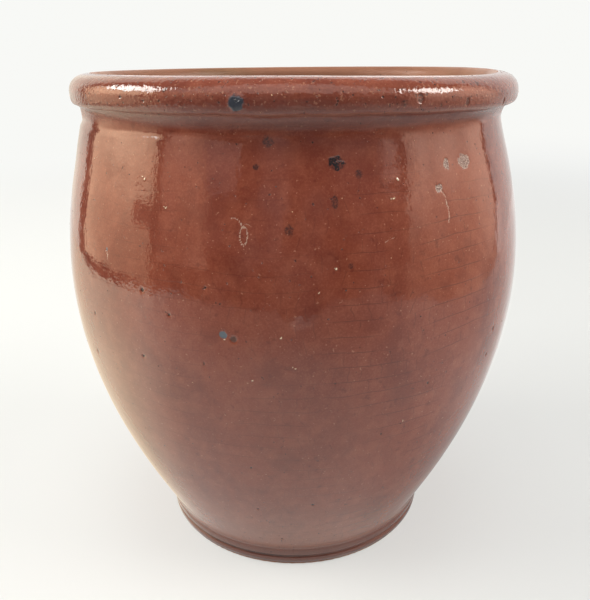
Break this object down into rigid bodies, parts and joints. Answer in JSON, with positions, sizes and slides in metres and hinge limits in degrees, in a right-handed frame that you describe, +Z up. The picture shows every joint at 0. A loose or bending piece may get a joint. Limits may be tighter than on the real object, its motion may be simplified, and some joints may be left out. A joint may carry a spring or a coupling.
{
  "type": "preserve crock",
  "caption": "Wheel-thrown redware preserve crock with an ovoid body, short neck, rolled rim and tooled foot, glazed inside and out.",
  "frame": {"origin": "on the table under the middle of the crock", "axes": "+Z up through the middle of the mouth; the side that the picture shows faces -Y"},
  "size_m": [0.1954, 0.1954, 0.205],
  "materials": {
    "fired_clay": "bare fired red earthenware, matte",
    "red_glaze": "glossy lead glaze over red clay, with pinholes, iron spots and fine crazing",
    "liner_glaze": "thinner clear glaze over red clay, semi-gloss"
  },
  "bodies": {
    "root": {"crock_body": "fired_clay", "outer_glaze": "red_glaze", "inner_glaze": "liner_glaze"}
  },
  "joints": []
}
